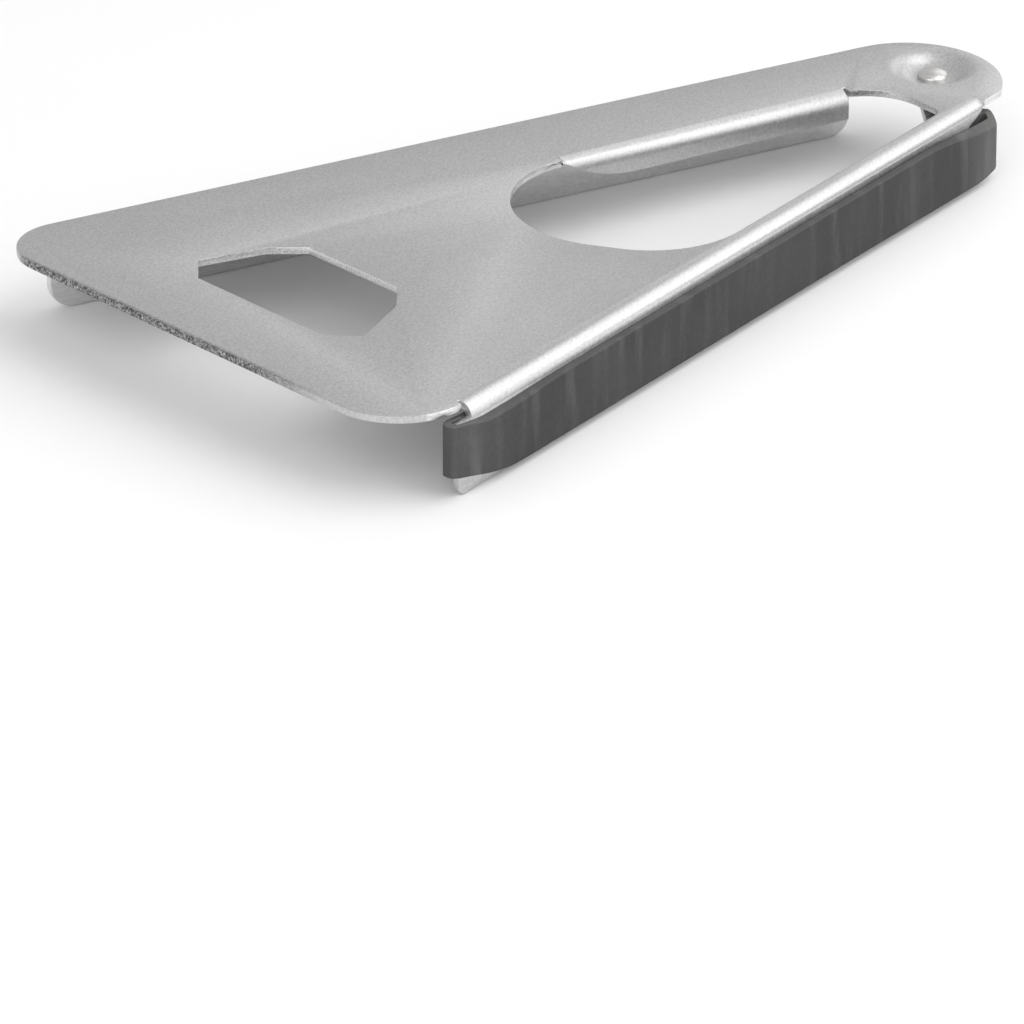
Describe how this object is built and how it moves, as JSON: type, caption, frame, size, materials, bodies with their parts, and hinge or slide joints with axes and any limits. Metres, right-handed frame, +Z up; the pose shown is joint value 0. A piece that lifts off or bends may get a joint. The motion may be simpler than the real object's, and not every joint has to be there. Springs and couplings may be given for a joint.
{
  "type": "jar lid opener",
  "caption": "Hand tool for loosening jar and bottle lids: a tapered steel plate with a window and a cap hole, a swinging steel jaw, and a flange with a rubber grip band.",
  "frame": {"origin": "middle of the plan bounding box, at the height of the lower edges that stand on the table", "axes": "+X along the middle of the V from the rivet to the wide front edge, +Y towards the flange with the rubber band, +Z up out of the plate"},
  "size_m": [0.2099, 0.1174, 0.018],
  "materials": {
    "plate_steel": "satin, fine matt grain",
    "jaw_steel": "satin",
    "rubber": "matt, dusty, faint streaks across the band",
    "rivet_steel": "bright, slightly worn"
  },
  "bodies": {
    "plate": {"top_plate": "plate_steel", "grip_band": "rubber", "pivot_rivet": "rivet_steel", "tail_washer": "rivet_steel"},
    "jaw": {"jaw_arm": "jaw_steel"}
  },
  "joints": [
    {"name": "jaw_swing", "type": "hinge", "parent": "plate", "child": "jaw", "pos_m": [-0.09391, -0.00088, 0.0132], "axis": [0, 0, -1], "range_deg": [0, 20]}
  ]
}
